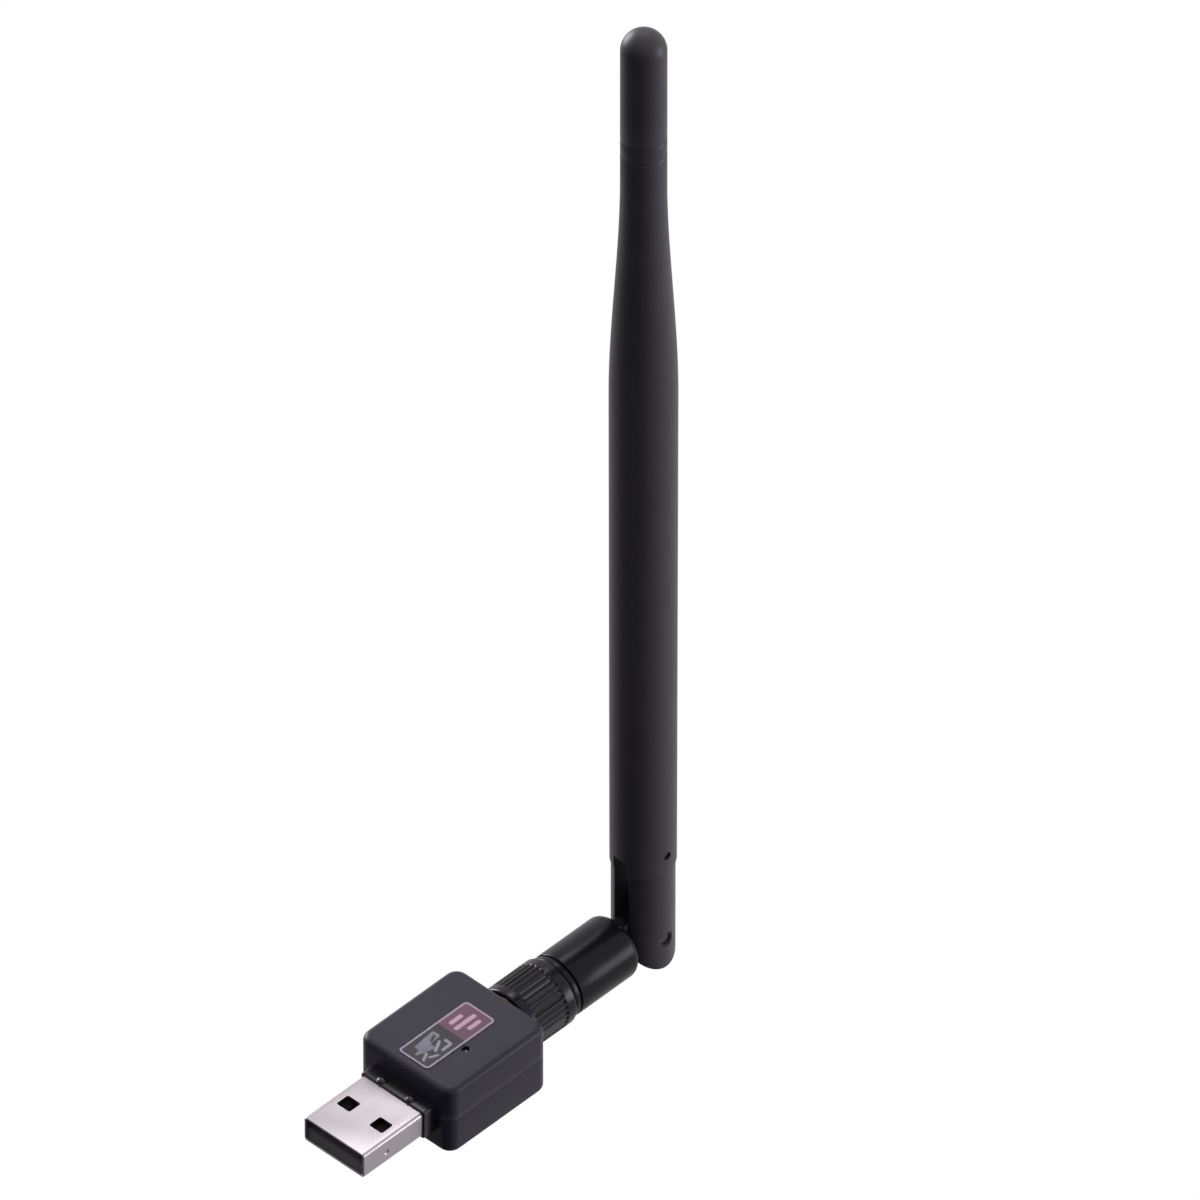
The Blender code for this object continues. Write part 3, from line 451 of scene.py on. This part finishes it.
def casing():
    casing_half("casing_upper_half", "housing_top", 1)
    casing_half("casing_lower_half", "housing_bottom", -1)
    x, y, low = LABEL_X, LABEL_Y, BODY_TOP - 0.05
    across, along = LABEL_WIDTH / 2, LABEL_LENGTH / 2
    shape = slab((x - across, y - along, low), (x + across, y + along, low + 0.12), 0.7, "Z", 0.04)
    piece("label_film", shape, LABEL, "adapter", "label_plate", sharp=60)
    top = BODY_TOP - 0.3
    profile = [(LIGHT_RADIUS - 0.02, 1.0), (LIGHT_RADIUS - 0.02, top - 0.12),
               *[(LIGHT_RADIUS * math.cos(a) - 0.02, top - 0.12 + 0.1 * math.sin(a))
                 for a in (0.4, 0.8, 1.2)],
               (0.0, top)]
    piece("status_light_lens", lathe(profile, "Z", (LIGHT_X, LIGHT_Y), 40), LENS, "adapter", "light_pipe")


# Coupling nut and swivel ------------------------------------------------------------------------------


def coupling_nut():
    """Smooth flanges at both ends with fine ridges between them, faded in and out at their ends."""
    per_ridge, inner, edge = 10, 4.35, 0.42
    steps = RIDGE_COUNT * per_ridge
    profile = [(inner, NUT_START + 0.3), (inner + 0.15, NUT_START), (NUT_RADIUS - edge, NUT_START)]
    profile += fillet(edge, (NUT_RADIUS - edge, NUT_START + edge), 180, 90, 6)
    profile += [(NUT_RADIUS, RIDGE_START - 0.35), (NUT_RADIUS, RIDGE_START - 0.12)]
    stretch = [RIDGE_START + (RIDGE_END - RIDGE_START) * i / 12 for i in range(13)]
    ridged = (RIDGE_START, RIDGE_START + 0.12, *stretch[1:-1], RIDGE_END - 0.12, RIDGE_END)
    profile += [(NUT_RADIUS, y) for y in ridged]
    profile += [(NUT_RADIUS, RIDGE_END + 0.12), (NUT_RADIUS, RIDGE_END + 0.35)]
    profile += fillet(edge, (NUT_RADIUS - edge, NUT_END - edge), 90, 0, 6)
    profile += [(inner + 0.15, NUT_END), (inner, NUT_END - 0.3)]
    loops = []
    for radius, y in profile:
        inside = min(y - RIDGE_START, RIDGE_END - y)
        amount = max(0.0, min(1.0, inside / 0.12)) if radius > inner + 0.5 else 0.0
        loop = []
        for i in range(steps):
            wave = 0.5 - 0.5 * math.cos(2 * math.pi * i / per_ridge)
            r = radius - RIDGE_DEPTH * amount * wave ** 1.3
            angle = 2 * math.pi * i / steps
            loop.append((r * math.cos(angle), y, AXIS_Z + r * math.sin(angle)))
        loops.append(loop)
    shape = rings([*loops, loops[0]], (False, False))
    piece("coupling_nut_grip", shape, NUT, "coupling_nut", "coupling_sleeve", sharp=70)


def swivel():
    centre = (0.0, AXIS_Z)
    edge = 0.16
    rim = SWIVEL_RADIUS - edge
    profile = [(SWIVEL_BORE, SWIVEL_START), (rim, SWIVEL_START),
               *fillet(edge, (rim, SWIVEL_START + edge), 180, 90, 4),
               *fillet(edge, (rim, SWIVEL_END - edge), 90, 0, 4), (SWIVEL_BORE, SWIVEL_END)]
    piece("swivel_ring", lathe(profile, "Y", centre), GLOSS, "swivel", "swivel_collar")
    radius, start, end, dome, edge = BARREL_RADIUS, BARREL_START, BARREL_END, BARREL_DOME, 0.2
    profile = [(SWIVEL_BORE, start + 0.3), (SWIVEL_BORE, start), (radius - edge, start),
               *fillet(edge, (radius - edge, start + edge), 180, 90, 4), (radius, 38.0), (radius, 42.0),
               *fillet(dome, (radius - dome, end - dome), 90, 0, 10), (2.0, end), (0.0, end)]
    shape = lathe(profile, "Y", centre, ends=(False, True))
    half, reach, neck = TONGUE_WIDTH / 2, TONGUE_RADIUS, TONGUE_NECK
    lathe([(reach - 0.15, -half), (reach, 0.15 - half), (reach, half - 0.15), (reach - 0.15, half)], "X",
          (HINGE_Y, AXIS_Z), 128, shape=shape)
    slab((-half, end - 1.0, AXIS_Z - neck), (half, HINGE_Y - 2.0, AXIS_Z + neck), 0.15, "Y", shape=shape,
         corner_steps=3)
    piece("swivel_barrel_moulding", shape, GLOSS, "swivel", "swivel_barrel")


# Antenna ----------------------------------------------------------------------------------------------


def fork():
    centre = (0.0, HINGE_Y)
    base, top = AXIS_Z - FORK_RADIUS - 1, AXIS_Z + SHEATH_START - 0.05
    shape = lathe([(FORK_RADIUS, base), (FORK_RADIUS, top - 0.15), (FORK_RADIUS - 0.15, top),
                   (3.9, top), (3.9, top + 4.0)], "Z", centre)
    obj = piece("hinge_fork", shape, FORK, "antenna", "antenna_fork")
    outline = [(HINGE_Y + FORK_RADIUS * math.sin(a), AXIS_Z - FORK_DROP - FORK_RADIUS * math.cos(a))
               for a in [math.pi * (i / 64 - 0.5) for i in range(65)]]
    outline += [(HINGE_Y + FORK_RADIUS, AXIS_Z + 40), (HINGE_Y - FORK_RADIUS, AXIS_Z + 40)]
    cut(obj, rings([[(x, y, z) for y, z in outline] for x in (-8.0, 8.0)]), "INTERSECT")
    half = SLOT_WIDTH / 2
    cut(obj, slab((-half, HINGE_Y - 8, base - 1), (half, HINGE_Y + 8, AXIS_Z + SLOT_ROOF), 0.02, "Z",
                  corner_steps=1))
    recess = lathe([(PIN_RADIUS + 0.33, FORK_RADIUS - 0.25), (PIN_RADIUS + 0.38, FORK_RADIUS + 1)], "X",
                   (HINGE_Y, AXIS_Z), 48)
    cut(obj, recess)
    cut(obj, lathe([(PIN_RADIUS + 0.03, -8), (PIN_RADIUS + 0.03, 8)], "X", (HINGE_Y, AXIS_Z), 48))
    smooth(obj)
    caps = bmesh.new()
    lathe([(0.0, -4.5), (PIN_RADIUS - 0.1, -4.5), (PIN_RADIUS, -4.4), (PIN_RADIUS, 4.1),
           (PIN_RADIUS - 0.12, 4.25), (0.4, 4.28), (0.0, 4.28)], "X", (HINGE_Y, AXIS_Z), 48, shape=caps)
    piece("hinge_pin_rod", caps, FORK, "antenna", "hinge_pin")


def sheath_radius(height):
    if height < SHOULDER_START:
        share = (height - SHEATH_START) / (SHOULDER_START - SHEATH_START)
        return SHEATH_RADIUS + (SHOULDER_RADIUS - SHEATH_RADIUS) * share
    share = min((height - SHOULDER_START) / (SHOULDER_END - SHOULDER_START), 1.0)
    return SHOULDER_RADIUS + (NECK_RADIUS - SHOULDER_RADIUS) * share * share * (3 - 2 * share)


def sheath():
    rim = 0.28
    profile = [(3.95, SHEATH_START + 30), (3.95, SHEATH_START), (SHEATH_RADIUS - rim, SHEATH_START)]
    profile += fillet(rim, (SHEATH_RADIUS - rim, SHEATH_START + rim), 180, 90, 5)
    height = SHEATH_START + 4.0
    while height < SHOULDER_END:
        profile.append((sheath_radius(height), height))
        height += 4.0 if height < SHOULDER_START - 2 else 1.6
    profile.append((NECK_RADIUS, SHOULDER_END))
    dips = ((-0.4, 0.0), (-0.3, 0.25), (-0.2, 0.8), (-0.1, 1.0),
            (0.1, 1.0), (0.2, 0.8), (0.3, 0.25), (0.4, 0.0))
    for groove in NECK_GROOVES:
        profile += [(NECK_RADIUS - 0.15 * dip, groove + at) for at, dip in dips]
    profile += [(NECK_RADIUS, SHOULDER_END + 15.0), *fillet(NECK_RADIUS, (0.0, TIP_CENTRE), 90, 0, 16)]
    profile = [(radius, AXIS_Z + height) for radius, height in profile]
    obj = piece("antenna_cover", lathe(profile, "Z", (0.0, HINGE_Y), 128, (False, True)), SOFT, "antenna",
                "antenna_sheath")
    half = SLOT_WIDTH / 2
    low, high = AXIS_Z + SHEATH_START - 1, AXIS_Z + SLOT_ROOF
    cut(obj, slab((-half, HINGE_Y - 8, low), (half, HINGE_Y + 8, high), 0.02, "Z", corner_steps=1))
    nub = AXIS_Z + NUB_HEIGHT
    cut(obj, lathe([(NUB_RADIUS + 0.12, 2.0), (NUB_RADIUS + 0.12, 8.0)], "X", (HINGE_Y, nub), 40))
    smooth(obj)
    profile = [(0.0, 3.5), (NUB_RADIUS, 3.5), (NUB_RADIUS, 4.5), (NUB_RADIUS - 0.12, 4.6), (0.0, 4.6)]
    piece("cover_locking_nub", lathe(profile, "X", (HINGE_Y, nub), 32), GLOSS, "antenna")


# Stage, light and camera ------------------------------------------------------------------------------


def emission(name, colour, strength):
    made = bpy.data.materials.new(name)
    made.use_nodes = True
    made.node_tree.nodes.clear()
    node, join, _ = links(made)
    glow = node("ShaderNodeEmission", Color=(*colour, 1.0), Strength=strength)
    join(glow.outputs[0], node("ShaderNodeOutputMaterial").inputs["Surface"])
    made.cycles.emission_sampling = "NONE"
    return made


def stage():
    floor_mesh = bpy.data.meshes.new("floor")
    shape = bmesh.new()
    bmesh.ops.create_grid(shape, x_segments=1, y_segments=1, size=FLOOR_HALF_SIDE)
    shape.to_mesh(floor_mesh)
    shape.free()
    floor = bpy.data.objects.new("floor", floor_mesh)
    floor.location = (0.0, 0.0, FLOOR_LEVEL)
    floor_mesh.materials.append(emission("pale_floor", (1.0, 1.0, 1.0), 1.0))
    bpy.context.scene.collection.objects.link(floor)
    floor.visible_glossy = False
    floor.visible_shadow = False
    floor.visible_diffuse = False


def studio():
    """A studio that is bright above and behind the object and dark on the side that the camera stands on."""
    world = bpy.data.worlds.new("studio")
    bpy.context.scene.world = world
    world.use_nodes = True
    tree = world.node_tree
    tree.nodes.clear()
    where = tree.nodes.new("ShaderNodeTexCoord")
    facing = tree.nodes.new("ShaderNodeVectorMath")
    facing.operation = "DOT_PRODUCT"
    facing.inputs[1].default_value = Vector((-0.16, 0.914, 0.376)).normalized()
    ramp = tree.nodes.new("ShaderNodeValToRGB")
    ramp.color_ramp.interpolation = "EASE"
    stops = ((0.0, (0.03, 0.028, 0.034)), (0.25, (0.035, 0.032, 0.04)), (0.55, (0.62, 0.585, 0.63)),
             (0.9, (0.92, 0.87, 0.95)))
    elements = ramp.color_ramp.elements
    placed = (elements[0], elements[1], elements.new(0.5), elements.new(0.7))
    for element, (position, colour) in zip(placed, stops):
        element.position = position
        element.color = (*colour, 1.0)
    scale = tree.nodes.new("ShaderNodeMath")
    scale.operation = "MULTIPLY_ADD"
    scale.inputs[1].default_value = 0.5
    scale.inputs[2].default_value = 0.5
    background = tree.nodes.new("ShaderNodeBackground")
    background.inputs["Strength"].default_value = 1.0
    plain = tree.nodes.new("ShaderNodeBackground")
    path = tree.nodes.new("ShaderNodeLightPath")
    either = tree.nodes.new("ShaderNodeMixShader")
    output = tree.nodes.new("ShaderNodeOutputWorld")
    plain.inputs["Color"].default_value = (1.0, 1.0, 1.0, 1.0)
    tree.links.new(where.outputs["Generated"], facing.inputs[0])
    tree.links.new(facing.outputs["Value"], scale.inputs[0])
    tree.links.new(scale.outputs[0], ramp.inputs["Fac"])
    tree.links.new(ramp.outputs["Color"], background.inputs["Color"])
    tree.links.new(path.outputs["Is Camera Ray"], either.inputs[0])
    tree.links.new(background.outputs[0], either.inputs[1])
    tree.links.new(plain.outputs[0], either.inputs[2])
    tree.links.new(either.outputs[0], output.inputs["Surface"])


def area_light(name, place, target, size, power, colour=(1.0, 1.0, 1.0)):
    data = bpy.data.lights.new(name, "AREA")
    data.shape = "DISK"
    data.size = size
    data.energy = power
    data.color = colour
    lamp = bpy.data.objects.new(name, data)
    lamp.location = place
    lamp.rotation_euler = (Vector(target) - Vector(place)).to_track_quat("-Z", "Y").to_euler()
    bpy.context.scene.collection.objects.link(lamp)


def camera():
    """A very long lens a long way off, so parallel edges stay parallel; `scale` is in pixels a millimetre."""
    turn, rise, distance, scale = math.radians(43.8), math.radians(42.9), 8.0, 6.928
    target = Vector((-8.66, 51.8, 59.1)) * MM
    away = Vector((math.sin(turn) * math.cos(rise), -math.cos(turn) * math.cos(rise), math.sin(rise)))
    data = bpy.data.cameras.new("camera")
    data.sensor_width = 36.0
    data.lens = data.sensor_width * scale * (distance / MM) / IMAGE_SIDE
    data.clip_start = 0.1
    data.clip_end = 200.0
    obj = bpy.data.objects.new("camera", data)
    obj.location = target + away * distance
    obj.rotation_euler = (-away).to_track_quat("-Z", "Y").to_euler()
    bpy.context.scene.collection.objects.link(obj)
    bpy.context.scene.camera = obj


for part in frame["record"]["subparts"]:
    node = frame["nodes"][part["node"]]
    node.data.materials.clear()
    node.data.materials.append(CAD_FINISHES[part["material_slot"]])
# The white tongue takes the dark grey painted-shade finish, standing for the shade inside the plug's mouth.
frame["nodes"]["plug_insulator"].data.materials[0] = TONGUE_PAINTED_SHADE
plug()
collar()
casing()
coupling_nut()
swivel()
fork()
sheath()
stage()
studio()
area_light("key", (-0.5, 0.6, 1.2), (0.0, 0.02, 0.05), 0.35, 1.6)
area_light("left_rim", (-1.0, 0.1, 0.25), (0.0, 0.04, 0.06), 0.6, 9.0)
area_light("right_rim", (0.9, 0.75, 0.1), (0.0, 0.04, 0.06), 0.5, 3.0)
camera()
bpy.context.scene.view_settings.view_transform = "Standard"
